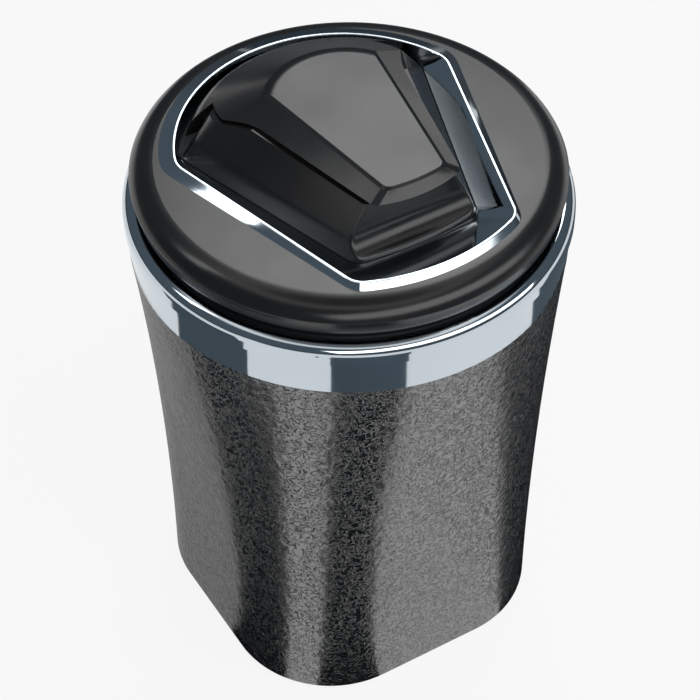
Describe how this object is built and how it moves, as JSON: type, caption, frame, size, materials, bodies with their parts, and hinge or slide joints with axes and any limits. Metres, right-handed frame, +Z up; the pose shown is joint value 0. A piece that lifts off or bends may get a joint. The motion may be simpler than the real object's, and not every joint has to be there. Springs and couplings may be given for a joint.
{
  "type": "car ashtray",
  "caption": "Cup-holder ashtray with a textured tapering cup, chrome collar, lift-off lid and a hinged flip cover over the ash mouth.",
  "frame": {"origin": "centre of the base, on the surface that the ashtray stands on", "axes": "+Z up; -Y towards the cover's nose and the scooped front of the spout block; the hinge is at +Y"},
  "size_m": [0.08, 0.08, 0.1204],
  "materials": {
    "cup_plastic": "fine leather-like moulded grain, satin",
    "lid_plastic": "smooth satin black",
    "inner_plastic": "plain moulded",
    "chrome": "polished dark chrome plating",
    "steel": "brushed",
    "rubber": "soft matt"
  },
  "bodies": {
    "cup": {"outer_cup": "cup_plastic", "base_pad": "rubber", "inner_liner": "steel", "collar_ring": "chrome"},
    "lid": {"lid_shell": "lid_plastic", "lid_base": "inner_plastic", "lid_seal": "rubber", "bezel": "chrome", "spout_block": "lid_plastic", "lid_screws": "steel", "hinge_pin": "steel", "hinge_spring": "steel"},
    "flap": {"flap_cover": "lid_plastic", "flap_liner": "steel", "flap_seal": "rubber", "flap_screws": "steel"}
  },
  "joints": [
    {"name": "lid_lift", "type": "slide", "parent": "cup", "child": "lid", "axis": [0, 0, 1], "range_m": [0, 0.03]},
    {"name": "flap_hinge", "type": "hinge", "parent": "lid", "child": "flap", "pos_m": [0, 0.0236, 0.1101], "axis": [-1, 0, 0], "range_deg": [0, 75], "stiffness_Nm_per_rad": 0.002, "springref_deg": -22.92}
  ]
}
